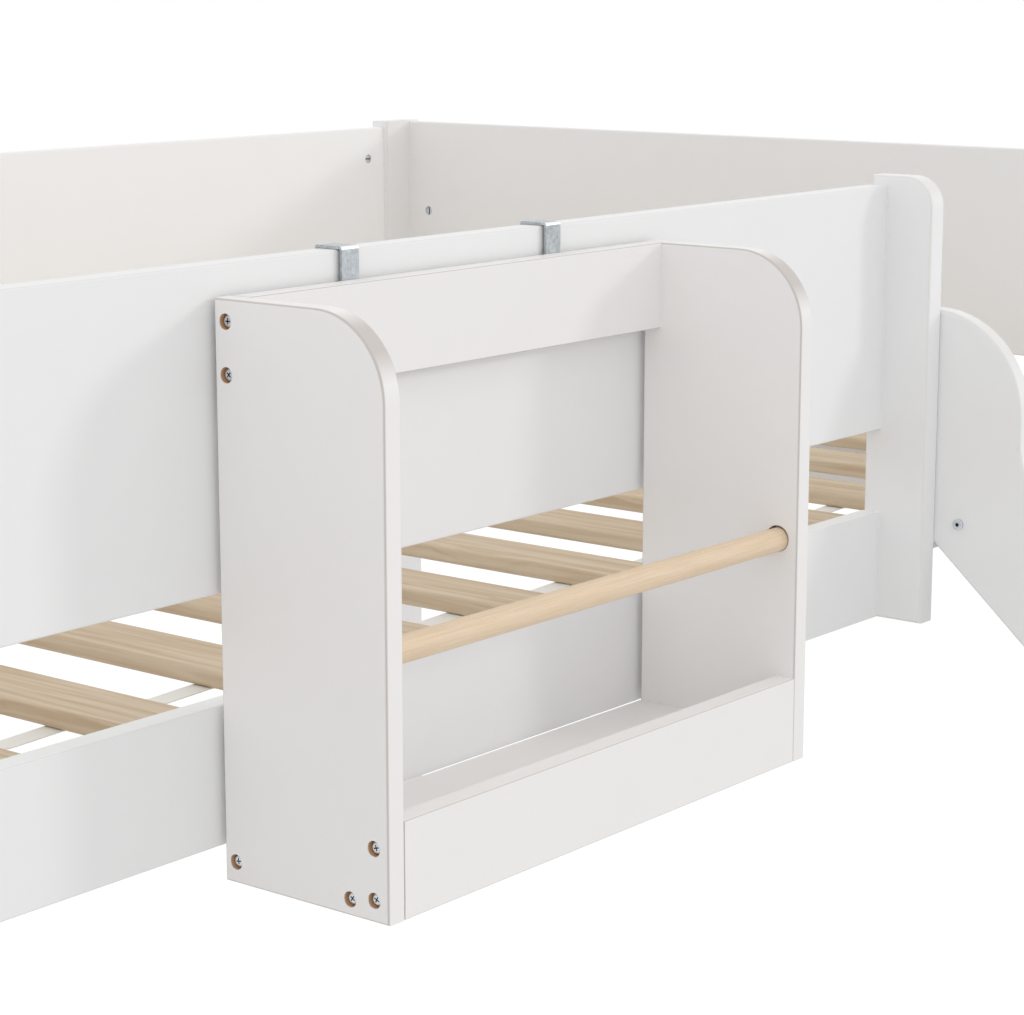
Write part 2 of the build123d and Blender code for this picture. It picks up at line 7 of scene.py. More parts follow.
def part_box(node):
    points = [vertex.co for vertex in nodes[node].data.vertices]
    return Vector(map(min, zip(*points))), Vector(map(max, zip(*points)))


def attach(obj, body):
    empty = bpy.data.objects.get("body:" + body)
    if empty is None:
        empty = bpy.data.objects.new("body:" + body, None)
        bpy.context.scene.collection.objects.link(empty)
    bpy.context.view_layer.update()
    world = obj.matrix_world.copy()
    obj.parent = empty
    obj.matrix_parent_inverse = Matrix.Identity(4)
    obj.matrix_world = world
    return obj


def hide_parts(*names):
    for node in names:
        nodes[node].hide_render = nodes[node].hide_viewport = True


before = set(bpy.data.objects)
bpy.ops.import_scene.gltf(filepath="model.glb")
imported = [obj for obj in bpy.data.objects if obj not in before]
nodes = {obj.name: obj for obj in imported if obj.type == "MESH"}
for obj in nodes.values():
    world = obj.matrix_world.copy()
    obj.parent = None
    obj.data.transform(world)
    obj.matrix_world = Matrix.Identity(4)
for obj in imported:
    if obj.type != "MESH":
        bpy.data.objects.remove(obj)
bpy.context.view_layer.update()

# Camera: a long lens a little above the guard board, out from the ladder's corner of the bed.
# It looks along the front of the bed to the right and a little down.
camera_place = Vector((-1.46750, -1.19171, 1.16249))
camera_yaw = 0.89466
camera_pitch = 0.19611
focal_pixels = 2710.92
photo_width = 1024
sensor_mm = 36
camera_data = bpy.data.cameras.new("camera")
camera_data.sensor_width = sensor_mm
camera_data.sensor_fit = "HORIZONTAL"
camera_data.lens = focal_pixels * sensor_mm / photo_width
camera = bpy.data.objects.new("camera", camera_data)
camera.location = camera_place
camera.rotation_euler = (pi / 2 - camera_pitch, 0, -camera_yaw)
bpy.context.scene.collection.objects.link(camera)
bpy.context.scene.camera = camera
bpy.context.scene.view_settings.view_transform = "Standard"


# Studio: an even white room with one broad, low light from the right of the front. What the
# camera and the metal see of the room is plain white.
def linear(hex_colour):
    """The linear colour of an sRGB hex value."""
    parts = [int(hex_colour[i : i + 2], 16) / 255 for i in (1, 3, 5)]
    return [c / 12.92 if c <= 0.04045 else ((c + 0.055) / 1.055) ** 2.4 for c in parts] + [1]


def add_node(tree, kind, settings, inputs):
    """Adds a node. An input takes a plain value, a socket, or a node for its first output."""
    made = tree.nodes.new(kind)
    for name, value in settings.items():
        setattr(made, name, value)
    for name, value in inputs.items():
        if isinstance(value, bpy.types.Node):
            value = value.outputs[0]
        if isinstance(value, bpy.types.NodeSocket):
            tree.links.new(value, made.inputs[name])
        else:
            made.inputs[name].default_value = value
    return made


def looked_at(tree):
    """1 where the camera, a reflection or a view through glass meets a thing, and else 0."""
    rays = add_node(tree, "ShaderNodeLightPath", {}, {})
    direct = add_node(
        tree, "ShaderNodeMath", {"operation": "MAXIMUM"},
        {0: rays.outputs["Is Camera Ray"], 1: rays.outputs["Is Glossy Ray"]},
    )
    return add_node(
        tree, "ShaderNodeMath", {"operation": "MAXIMUM"},
        {0: direct, 1: rays.outputs["Is Transmission Ray"]},
    )


room_light = 0.92
lamp_strength = 0.37
lamp_spread = 9.5
lamp_travel = Vector((-0.92, 1.0, -0.41))
plain_white = (1, 1, 1, 1)

world = bpy.data.worlds.new("white_room")
world.use_nodes = True
room = world.node_tree
room.nodes.clear()
level = add_node(
    room, "ShaderNodeMapRange", {},
    {"Value": looked_at(room), "To Min": room_light, "To Max": 1},
)
sky = add_node(room, "ShaderNodeBackground", {}, {"Color": plain_white, "Strength": level})
add_node(room, "ShaderNodeOutputWorld", {}, {"Surface": sky})
bpy.context.scene.world = world

lamp_data = bpy.data.lights.new("studio_lamp", "SUN")
lamp_data.energy = lamp_strength
lamp_data.angle = radians(lamp_spread)
lamp = bpy.data.objects.new("studio_lamp", lamp_data)
lamp.rotation_euler = lamp_travel.to_track_quat("-Z", "Y").to_euler()
bpy.context.scene.collection.objects.link(lamp)


# Studio floor: matt white card. Seen directly it is lifted to white, so that only the bed's
# faint shadow shows on it.
def new_material(name):
    material = bpy.data.materials.new(name)
    material.use_nodes = True
    material.node_tree.nodes.clear()
    return material, material.node_tree


def made_piece(bm, name, finish):
    """An object at the origin with the shape of a bmesh and the materials of its finish."""
    mesh = bpy.data.meshes.new(name)
    bm.to_mesh(mesh)
    bm.free()
    for material in finish:
        mesh.materials.append(material)
    piece = bpy.data.objects.new(name, mesh)
    bpy.context.scene.collection.objects.link(piece)
    return piece


floor_half = 30
card_white = "#E6E6E6"
card_faint = "#7A7A7A"
card_lift = 0.86
white_card, tree = new_material("matt_white_card")
card = add_node(tree, "ShaderNodeBsdfDiffuse", {}, {"Color": linear(card_white)})
faint = add_node(tree, "ShaderNodeBsdfDiffuse", {}, {"Color": linear(card_faint)})
lift = add_node(tree, "ShaderNodeEmission", {}, {"Color": plain_white, "Strength": card_lift})
shown = add_node(tree, "ShaderNodeAddShader", {}, {0: faint, 1: lift})
either = add_node(
    tree, "ShaderNodeMixShader", {}, {"Fac": looked_at(tree), 1: card, 2: shown}
)
add_node(tree, "ShaderNodeOutputMaterial", {}, {"Surface": either})
bm = bmesh.new()
bmesh.ops.create_grid(bm, x_segments=1, y_segments=1, size=floor_half)
floor = made_piece(bm, "floor", [white_card])

# Zinc-plated steel: the skin of all screws, bolts, nuts and staples. It is cool grey with a
# soft sheen, slightly clouded from the plating bath.
mix_a, mix_b, mix_out = 6, 7, 2  # colour sockets of a mix node, whose names aren't unique
plate_cloud_mm = 2.5
plated_steel, tree = new_material("zinc_plated_steel")
place = add_node(tree, "ShaderNodeTexCoord", {}, {}).outputs["Object"]
cloud = add_node(
    tree, "ShaderNodeTexNoise", {},
    {"Vector": place, "Scale": 1000 / plate_cloud_mm, "Detail": 3},
)
tint = add_node(
    tree, "ShaderNodeMix", {"data_type": "RGBA"},
    {"Factor": cloud, mix_a: linear("#BFC5CC"), mix_b: linear("#EAEEF2")},
)
gloss = add_node(
    tree, "ShaderNodeMapRange", {}, {"Value": cloud, "To Min": 0.25, "To Max": 0.48}
)
steel = add_node(
    tree, "ShaderNodeBsdfPrincipled", {},
    {"Base Color": tint.outputs[mix_out], "Metallic": 1, "Roughness": gloss},
)
add_node(tree, "ShaderNodeOutputMaterial", {}, {"Surface": steel})

# Socket of a plated head: painted shade. It is nearly black, because light hardly reaches
# its bottom.
socket_shade, tree = new_material("painted_shade_socket")
place = add_node(tree, "ShaderNodeTexCoord", {}, {}).outputs["Object"]
cloud = add_node(
    tree, "ShaderNodeTexNoise", {},
    {"Vector": place, "Scale": 1000 / plate_cloud_mm, "Detail": 2},
)
tint = add_node(
    tree, "ShaderNodeMix", {"data_type": "RGBA"},
    {"Factor": cloud, mix_a: linear("#3A3F47"), mix_b: linear("#5C636C")},
)
steel = add_node(
    tree, "ShaderNodeBsdfPrincipled", {},
    {"Base Color": tint.outputs[mix_out], "Metallic": 0.7, "Roughness": 0.6},
)
add_node(tree, "ShaderNodeOutputMaterial", {}, {"Surface": steel})
# The second material, painted shade, goes on the walls and bottoms of sockets and slots.
plated = (plated_steel, socket_shade)


# Screws and bolts: cold-headed steel wire with a driven socket in each head, driven into the
# boards. Their places are read from the solids that they replace.
def loose_parts(node):
    """The mesh points of each separate solid of a node."""
    bm = bmesh.new()
    bm.from_mesh(nodes[node].data)
    bmesh.ops.remove_doubles(bm, verts=bm.verts, dist=1e-6)
    parts = []
    for seed in bm.verts:
        if seed.tag:
            continue
        seed.tag = True
        reached = [seed]
        for vert in reached:
            for edge in vert.link_edges:
                other = edge.other_vert(vert)
                if not other.tag:
                    other.tag = True
                    reached.append(other)
        parts.append([v.co.copy() for v in reached])
    bm.free()
    return parts


def corners(points):
    """The lowest and the highest corner of the box round some points."""
    return [Vector([pick(p[k] for p in points) for k in range(3)]) for pick in (min, max)]


rim_share = 0.95  # of the greatest radius; points past it lie on the rim of the head


def placed(points):
    """Where a fastener's head begins, the direction of its shank, and its whole length."""
    low, high = corners(points)
    middle = (low + high) / 2
    axis = max(range(3), key=lambda k: high[k] - low[k])
    along = Vector([float(k == axis) for k in range(3)])
    away = [((p - middle) - along * (p - middle).dot(along)).length for p in points]
    widest = max(away)
    rim = [p[axis] for p, radius in zip(points, away) if radius > rim_share * widest]
    if sum(rim) / len(rim) > middle[axis]:
        along = -along
    start = middle - along * (high[axis] - low[axis]) / 2
    return start, along, high[axis] - low[axis]


def drawn_out(bm, edges):
    """Extrudes a chain of edges, and gives the new edges, points and faces."""
    grown = bmesh.ops.extrude_edge_only(bm, edges=edges)["geom"]
    kinds = (bmesh.types.BMEdge, bmesh.types.BMVert, bmesh.types.BMFace)
    return [[part for part in grown if isinstance(part, kind)] for kind in kinds]


head_sides = 24
dome_flat = 0.72
dome_shoulder = 0.93
dome_fall = 0.55
tip_width = 0.35
socket_taper = 0.8


def headed_blank(outline, socket_depth, crown, head, head_height, shank, length):
    """A blank along +Z that starts at the origin. A crown below zero is the height of a dome."""
    bm = bmesh.new()
    mouth = [bm.verts.new((x, y, crown)) for x, y in outline]
    socket_rim = [bm.edges.new((mouth[i - 1], mouth[i])) for i in range(len(mouth))]
    bmesh.ops.create_circle(
        bm, cap_ends=False, segments=head_sides, radius=head * dome_flat,
        matrix=Matrix.Translation((0, 0, crown)),
    )
    ring = [edge for edge in bm.edges if edge not in socket_rim]
    bmesh.ops.bridge_loops(bm, edges=socket_rim + ring)
    for radius, height in (
        (head * dome_shoulder, crown * dome_fall), (head, 0), (head, head_height),
        (shank, head_height), (shank, length - shank), (shank * tip_width, length),
    ):
        ring, points, _ = drawn_out(bm, ring)
        for v in points:
            flat = Vector((v.co.x, v.co.y, 0)).normalized() * radius
            v.co = (flat.x, flat.y, height)
    bmesh.ops.contextual_create(bm, geom=points)
    _, pit, walls = drawn_out(bm, socket_rim)
    for v in pit:
        v.co = (v.co.x * socket_taper, v.co.y * socket_taper, v.co.z + socket_depth)
    # The socket's walls and bottom take the second material, the painted shade.
    for face in walls + bmesh.ops.contextual_create(bm, geom=pit)["faces"]:
        face.material_index = 1
    bmesh.ops.recalc_face_normals(bm, faces=bm.faces)
    blank = bpy.data.meshes.new("blank")
    bm.to_mesh(blank)
    bm.free()
    return blank


driven_turn = 41  # degrees from one screw's cross to the next one's, as driven by hand


def fit_fasteners(name, node, body, outline, **sizes):
    """Stands a detailed fastener in the place of each loose solid of a node."""
    bm = bmesh.new()
    for count, points in enumerate(loose_parts(node)):
        start, along, length = placed(points)
        blank = headed_blank(outline, length=length, **sizes)
        driven = Matrix.Rotation(radians(driven_turn * count), 4, "Z")
        turn = Vector((0, 0, 1)).rotation_difference(along).to_matrix().to_4x4()
        blank.transform(Matrix.Translation(start) @ turn @ driven)
        bm.from_mesh(blank)
        bpy.data.meshes.remove(blank)
    piece = made_piece(bm, name, plated)
    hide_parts(node)
    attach(piece, body)


def cross_outline(reach, waist):
    """The twelve corners of a cross recess: two at each arm's end, one between arms."""
    return [
        (r * cos(radians(a)), r * sin(radians(a)))
        for a, r in ((15 + 30 * i, waist if i % 3 == 1 else reach) for i in range(12))
    ]


def hexagon(reach):
    return [(reach * cos(radians(60 * i)), reach * sin(radians(60 * i))) for i in range(6)]


screw_cross = cross_outline(reach=0.0021, waist=0.00055)
pan_screw = {
    "socket_depth": 0.0014, "crown": -0.0006, "head": 0.0039, "head_height": 0.0024,
    "shank": 0.002,
}
for name, node, body in (
    ("shelf_cross_screws", "shelf_screws", "hanging_shelf"),
    ("ladder_cross_screws", "ladder_screws", "bed"),
    ("ledger_cross_screws", "ledger_screws", "bed"),
    ("slat_cross_screws", "slat_screws", "bed"),
):
    fit_fasteners(name, node, body, screw_cross, **pan_screw)

flush_screw = {
    "socket_depth": 0.0012, "crown": 0, "head": 0.0034, "head_height": 0.0006,
    "shank": 0.002,
}
fit_fasteners("hook_cross_screws", "hook_screws", "hanging_shelf", screw_cross, **flush_screw)

frame_bolt = {
    "socket_depth": 0.0022, "crown": -0.0003, "head": 0.0054, "head_height": 0.004,
    "shank": 0.0029,
}
fit_fasteners("frame_socket_bolts", "frame_bolts", "bed", hexagon(0.0029), **frame_bolt)

slide_bolt = {
    "socket_depth": 0.0018, "crown": -0.0004, "head": 0.0048, "head_height": 0.0025,
    "shank": 0.0029,
}
for name, node in (("slide_socket_bolts", "slide_bolts"), ("hang_socket_bolts", "hang_bolts")):
    fit_fasteners(name, node, "bed", hexagon(0.0019), **slide_bolt)

# Barrel nuts: turned steel pins that lie across the bolts in the boards. Only a flat end
# shows on the inner face, with its screwdriver slot.
nut_radius = 0.0049
nut_core = 0.9
nut_land = 0.96
slot_reach = 0.0042
slot_half_width = 0.0007
nut_slot = [
    (-slot_reach, -slot_half_width), (slot_reach, -slot_half_width),
    (slot_reach, slot_half_width), (-slot_reach, slot_half_width),
]
bm = bmesh.new()
for points in loose_parts("barrel_nuts"):
    low, high = corners(points)
    middle = (low + high) / 2
    across = max(range(3), key=lambda k: high[k] - low[k])
    inward = Vector([float(k == across) for k in range(3)]) * (-1 if middle[across] > 0 else 1)
    length = high[across] - low[across]
    blank = headed_blank(
        nut_slot, socket_depth=0.0012, crown=0, head=nut_radius,
        head_height=length * nut_land, shank=nut_radius * nut_core, length=length,
    )
    turn = Vector((0, 0, 1)).rotation_difference(-inward).to_matrix().to_4x4()
    blank.transform(Matrix.Translation(middle + inward * length / 2) @ turn)
    bm.from_mesh(blank)
    bpy.data.meshes.remove(blank)
slotted_nuts = made_piece(bm, "slotted_barrel_nuts", plated)
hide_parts("barrel_nuts")
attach(slotted_nuts, "bed")

# Painted boards of the bed, ladder and slide: fibreboard and solid wood under sprayed satin
# lacquer. It is smooth, with a faint clouding and orange peel, and a touch greyer along the
# rounded edges, where that grey is painted shade.
lacquer_cloud_mm = 70
orange_peel_mm = 1.6
raw_fibre_mm = 0.9
head_depth = 0.0028
bore_radius = 0.0057
bore_rim = 0.0006
bore_depth = 0.0056
out_of_reach = 1


def rounded_edges(tree, square, rounded):
    """0 on faces square to an axis, 1 where a rounded edge has turned the normal away."""
    normal = add_node(tree, "ShaderNodeNewGeometry", {}, {}).outputs["Normal"]
    squares = add_node(
        tree, "ShaderNodeVectorMath", {"operation": "MULTIPLY"}, {0: normal, 1: normal}
    )
    fourths = add_node(
        tree, "ShaderNodeVectorMath", {"operation": "DOT_PRODUCT"}, {0: squares, 1: squares}
    )
    return add_node(
        tree, "ShaderNodeMapRange", {},
        {"Value": fourths.outputs["Value"], "From Min": square, "From Max": rounded},
    )


def raw_in_bores(tree, place, colour, bores):
    """Brown raw board on the walls of screw bores, whose mouths lie on the outer faces."""
    middle = (min(b.x for b in bores) + max(b.x for b in bores)) / 2
    half = (max(b.x for b in bores) - min(b.x for b in bores)) / 2
    flat = add_node(
        tree, "ShaderNodeVectorMath", {"operation": "MULTIPLY"}, {0: place, 1: (0, 1, 1)}
    )
    near = out_of_reach
    for y, z in sorted({(round(b.y, 5), round(b.z, 5)) for b in bores}):
        gap = add_node(
            tree, "ShaderNodeVectorMath", {"operation": "DISTANCE"}, {0: flat, 1: (0, y, z)}
        )
        near = add_node(
            tree, "ShaderNodeMath", {"operation": "MINIMUM"},
            {0: gap.outputs["Value"], 1: near},
        )
    inside = add_node(
        tree, "ShaderNodeMath", {"operation": "LESS_THAN"}, {0: near, 1: bore_radius}
    )
    across = add_node(tree, "ShaderNodeSeparateXYZ", {}, {0: place})
    off = add_node(tree, "ShaderNodeMath", {"operation": "SUBTRACT"}, {0: across, 1: middle})
    off = add_node(tree, "ShaderNodeMath", {"operation": "ABSOLUTE"}, {0: off})
    sunk = add_node(
        tree, "ShaderNodeMath", {"operation": "LESS_THAN"}, {0: off, 1: half - bore_rim}
    )
    shallow = add_node(
        tree, "ShaderNodeMath", {"operation": "GREATER_THAN"}, {0: off, 1: half - bore_depth}
    )
    raw = add_node(tree, "ShaderNodeMath", {"operation": "MULTIPLY"}, {0: inside, 1: sunk})
    raw = add_node(tree, "ShaderNodeMath", {"operation": "MULTIPLY"}, {0: raw, 1: shallow})
    fibres = add_node(
        tree, "ShaderNodeTexNoise", {},
        {"Vector": place, "Scale": 1000 / raw_fibre_mm, "Detail": 3},
    )
    board = add_node(
        tree, "ShaderNodeMix", {"data_type": "RGBA"},
        {"Factor": fibres, mix_a: linear("#B78A61"), mix_b: linear("#E9C6A0")},
    )
    bored = add_node(
        tree, "ShaderNodeMix", {"data_type": "RGBA"},
        {"Factor": raw, mix_a: colour, mix_b: board.outputs[mix_out]},
    )
    return bored.outputs[mix_out]


def lacquered_board(name, pale, deep, arris_shade, bores):
    """White lacquer, cut through by the screw bores of the board."""
    material, tree = new_material(name)
    place = add_node(tree, "ShaderNodeTexCoord", {}, {}).outputs["Object"]
    cloud = add_node(
        tree, "ShaderNodeTexNoise", {},
        {"Vector": place, "Scale": 1000 / lacquer_cloud_mm, "Detail": 5, "Roughness": 0.6},
    )
    film = add_node(
        tree, "ShaderNodeMix", {"data_type": "RGBA"},
        {"Factor": cloud, mix_a: linear(deep), mix_b: linear(pale)},
    )
    # Painted shade: the rounded edges, where the normal turns away from the axes, are tinted
    # greyer.
    edges = rounded_edges(tree, 0.9, 0.55)
    colour = add_node(
        tree, "ShaderNodeMix", {"data_type": "RGBA"},
        {"Factor": edges, mix_a: film.outputs[mix_out], mix_b: linear(arris_shade)},
    ).outputs[mix_out]
    if bores:
        colour = raw_in_bores(tree, place, colour, bores)
    peel = add_node(
        tree, "ShaderNodeTexNoise", {},
        {"Vector": place, "Scale": 1000 / orange_peel_mm, "Detail": 2},
    )
    bump = add_node(
        tree, "ShaderNodeBump", {}, {"Height": peel, "Strength": 0.12, "Distance": 0.0003}
    )
    gloss = add_node(
        tree, "ShaderNodeMapRange", {}, {"Value": cloud, "To Min": 0.42, "To Max": 0.52}
    )
    paint = add_node(
        tree, "ShaderNodeBsdfPrincipled", {},
        {
            "Base Color": colour, "Roughness": gloss, "IOR": 1.48,
            "Specular IOR Level": 0.25, "Normal": bump,
        },
    )
    add_node(tree, "ShaderNodeOutputMaterial", {}, {"Surface": paint})
    return material


def paint_nodes(material, names):
    for name in names:
        nodes[name].data.materials.clear()
        nodes[name].data.materials.append(material)


board_pale, board_deep, board_arris_shade = "#F5F5F5", "#F1F1F1", "#EBEAE9"
white_lacquer = lacquered_board("satin_white_lacquer", board_pale, board_deep, board_arris_shade, [])
paint_nodes(
    white_lacquer,
    [
        "back_rail", "end_board_left", "end_board_right", "end_rail_left", "end_rail_right",
        "front_guard", "front_rail", "leg_back_left", "leg_back_right", "leg_front_left",
        "leg_front_right", "post_board_left", "post_board_right", "ledger_back",
        "ledger_front", "ladder_head_board", "ladder_tread_1", "ladder_tread_2",
        "ladder_tread_3", "slide_battens", "slide_head_board", "slide_side_left",
        "slide_side_right",
    ],
)

# Back board: the same fibreboard and satin lacquer, painted whiter as painted light for the
# extra light that falls on it. It is the brightest board of the bed.
painted_light_lacquer = lacquered_board("painted_light_white_lacquer", "#FEFEFE", "#FCFCFC", "#F4F4F3", [])
paint_nodes(painted_light_lacquer, ["back_board"])


# Ladder stiles: the same lacquered boards, with the tread screws sunk into them from outside.
# The bores are drilled after painting, so raw board shows in them.
def bore_mouths(node):
    """The middle of each bore's mouth, a head's depth outside the screw's head."""
    fits = [placed(points) for points in loose_parts(node)]
    return [start - along * head_depth for start, along, _ in fits]


stile_lacquer = lacquered_board(
    "stile_white_lacquer", board_pale, board_deep, board_arris_shade, bore_mouths("ladder_screws")
)
paint_nodes(stile_lacquer, ["ladder_stile_left", "ladder_stile_right"])

# Book shelf boards: fibreboard with the same satin lacquer, a little warmer. The thin grey-brown
# line along their rounded edges is partly the edge band's joint and partly painted shade on the
# arris. Screws through the sides hold them, sunk in raw bores.
shelf_lacquer = lacquered_board(
    "shelf_white_lacquer", "#F6F4F3", "#F2F0EF", "#CFC9C4", bore_mouths("shelf_screws")
)
paint_nodes(
    shelf_lacquer,
    [
        "shelf_side_left", "shelf_side_right", "shelf_upper_board", "shelf_bottom_board",
        "shelf_lip",
    ],
)

# Chute of the slide: hardboard with a smooth melamine face, bent along the slide's sides. It
# is glossier than the lacquer, with a faint pressed texture.
melamine_cloud_mm = 60
press_mm = 4
slide_laminate, tree = new_material("white_melamine_laminate")
place = add_node(tree, "ShaderNodeTexCoord", {}, {}).outputs["Object"]
cloud = add_node(
    tree, "ShaderNodeTexNoise", {},
    {"Vector": place, "Scale": 1000 / melamine_cloud_mm, "Detail": 4},
)
film = add_node(
    tree, "ShaderNodeMix", {"data_type": "RGBA"},
    {"Factor": cloud, mix_a: linear("#F0F0F0"), mix_b: linear("#F5F5F5")},
)
press = add_node(
    tree, "ShaderNodeTexNoise", {}, {"Vector": place, "Scale": 1000 / press_mm, "Detail": 2}
)
bump = add_node(
    tree, "ShaderNodeBump", {}, {"Height": press, "Strength": 0.08, "Distance": 0.0004}
)
gloss = add_node(
    tree, "ShaderNodeMapRange", {}, {"Value": cloud, "To Min": 0.2, "To Max": 0.28}
)
melamine = add_node(
    tree, "ShaderNodeBsdfPrincipled", {},
    {"Base Color": film.outputs[mix_out], "Roughness": gloss, "Normal": bump},
)
add_node(tree, "ShaderNodeOutputMaterial", {}, {"Surface": melamine})
paint_nodes(slide_laminate, ["slide_chute"])

# Slats: planed pine, left raw, laid across the ledgers. Pale tan with darker growth rings
# along each slat, fine fibres and a knot here and there.
ring_mm = 7
fibre_mm = 0.9
knot_spacing_mm = 210
pine_stretch = (1, 0.035, 1)
pine, tree = new_material("planed_pine")
place = add_node(tree, "ShaderNodeTexCoord", {}, {}).outputs["Object"]
knots = add_node(
    tree, "ShaderNodeTexVoronoi", {}, {"Vector": place, "Scale": 1000 / knot_spacing_mm}
)
knot = add_node(
    tree, "ShaderNodeMapRange", {},
    {"Value": knots, "From Min": 0.03, "From Max": 0.075, "To Min": 1, "To Max": 0},
)
swirl = add_node(
    tree, "ShaderNodeMapRange", {},
    {"Value": knots, "From Min": 0, "From Max": 0.35, "To Min": 0.02, "To Max": 0},
)
bent = add_node(tree, "ShaderNodeVectorMath", {"operation": "ADD"}, {0: place, 1: swirl})
drawn = add_node(tree, "ShaderNodeMapping", {}, {"Vector": bent, "Scale": pine_stretch})
rings = add_node(
    tree, "ShaderNodeTexNoise", {},
    {"Vector": drawn, "Scale": 1000 / ring_mm, "Detail": 3, "Distortion": 0.5},
)
ring = add_node(
    tree, "ShaderNodeMapRange", {}, {"Value": rings, "From Min": 0.38, "From Max": 0.66}
)
fibres = add_node(
    tree, "ShaderNodeTexNoise", {}, {"Vector": drawn, "Scale": 1000 / fibre_mm, "Detail": 3}
)
ringed = add_node(
    tree, "ShaderNodeMix", {"data_type": "RGBA"},
    {"Factor": ring, mix_a: linear("#DECBB1"), mix_b: linear("#CBB394")},
)
wood = add_node(
    tree, "ShaderNodeMix", {"data_type": "RGBA", "blend_type": "MULTIPLY"},
    {"Factor": 0.12, mix_a: ringed.outputs[mix_out], mix_b: fibres},
)
knotted = add_node(
    tree, "ShaderNodeMix", {"data_type": "RGBA"},
    {"Factor": knot, mix_a: wood.outputs[mix_out], mix_b: linear("#8A6444")},
)
bump = add_node(
    tree, "ShaderNodeBump", {}, {"Height": fibres, "Strength": 0.25, "Distance": 0.0003}
)
planed = add_node(
    tree, "ShaderNodeBsdfPrincipled", {},
    {
        "Base Color": knotted.outputs[mix_out], "Roughness": 0.6,
        "Specular IOR Level": 0.3, "Normal": bump,
    },
)
add_node(tree, "ShaderNodeOutputMaterial", {}, {"Surface": planed})
paint_nodes(pine, ["slats"])

# Book rail and joint dowels: turned beech under clear oil. Pale and even, with fine fibres
# along the rod and the short dark flecks of beech.
beech_fibre_mm = 1.4
fleck_mm = 1.3
beech_stretch = (0.03, 1, 1)
fleck_stretch = (0.16, 1, 1)
beech, tree = new_material("oiled_beech")
place = add_node(tree, "ShaderNodeTexCoord", {}, {}).outputs["Object"]
drawn = add_node(tree, "ShaderNodeMapping", {}, {"Vector": place, "Scale": beech_stretch})
fibres = add_node(
    tree, "ShaderNodeTexNoise", {},
    {"Vector": drawn, "Scale": 1000 / beech_fibre_mm, "Detail": 4},
)
short = add_node(tree, "ShaderNodeMapping", {}, {"Vector": place, "Scale": fleck_stretch})
flecks = add_node(
    tree, "ShaderNodeTexVoronoi", {}, {"Vector": short, "Scale": 1000 / fleck_mm}
)
fleck = add_node(
    tree, "ShaderNodeMapRange", {},
    {"Value": flecks, "From Min": 0.1, "From Max": 0.24, "To Min": 0.18, "To Max": 0},
)
fibred = add_node(
    tree, "ShaderNodeMix", {"data_type": "RGBA"},
    {"Factor": fibres, mix_a: linear("#D8BC99"), mix_b: linear("#F2DFC6")},
)
flecked = add_node(
    tree, "ShaderNodeMix", {"data_type": "RGBA"},
    {"Factor": fleck, mix_a: fibred.outputs[mix_out], mix_b: linear("#B8926A")},
)
bump = add_node(
    tree, "ShaderNodeBump", {}, {"Height": fibres, "Strength": 0.15, "Distance": 0.0002}
)
oiled = add_node(
    tree, "ShaderNodeBsdfPrincipled", {},
    {
        "Base Color": flecked.outputs[mix_out], "Roughness": 0.48,
        "Specular IOR Level": 0.35, "Normal": bump,
    },
)
add_node(tree, "ShaderNodeOutputMaterial", {}, {"Surface": oiled})
paint_nodes(beech, ["book_rail", "joint_dowels"])

# Hooks: strips of hot-dipped zinc sheet, bent cold and screwed to the shelf's upper board.
# Cool blue-grey with a fine crystalline spangle, and a painted highlight along the bends.
spangle_mm = 2.2
streak_mm = 1.5
streak_stretch = (1, 1, 0.15)
spangled_zinc, tree = new_material("spangled_zinc_sheet")
place = add_node(tree, "ShaderNodeTexCoord", {}, {}).outputs["Object"]
spangle = add_node(
    tree, "ShaderNodeTexVoronoi", {}, {"Vector": place, "Scale": 1000 / spangle_mm}
)
drawn = add_node(tree, "ShaderNodeMapping", {}, {"Vector": place, "Scale": streak_stretch})
streaks = add_node(
    tree, "ShaderNodeTexNoise", {}, {"Vector": drawn, "Scale": 1000 / streak_mm, "Detail": 3}
)
grain = add_node(
    tree, "ShaderNodeMix", {"data_type": "RGBA"},
    {"Factor": 0.5, mix_a: spangle.outputs["Color"], mix_b: streaks},
)
grey = add_node(tree, "ShaderNodeRGBToBW", {}, {0: grain.outputs[mix_out]})
tint = add_node(
    tree, "ShaderNodeMix", {"data_type": "RGBA"},
    {"Factor": grey, mix_a: linear("#969DA2"), mix_b: linear("#D3D8DB")},
)
# Painted highlight: near white where the bends turn the normal away.
bends = rounded_edges(tree, 0.96, 0.65)
painted_highlight = add_node(
    tree, "ShaderNodeMix", {"data_type": "RGBA"},
    {"Factor": bends, mix_a: tint.outputs[mix_out], mix_b: linear("#FBFDFE")},
)
gloss = add_node(
    tree, "ShaderNodeMapRange", {}, {"Value": grey, "To Min": 0.28, "To Max": 0.45}
)
zinc = add_node(
    tree, "ShaderNodeBsdfPrincipled", {},
    {"Base Color": painted_highlight.outputs[mix_out], "Metallic": 1, "Roughness": gloss},
)
add_node(tree, "ShaderNodeOutputMaterial", {}, {"Surface": zinc})
paint_nodes(spangled_zinc, ["shelf_hooks"])

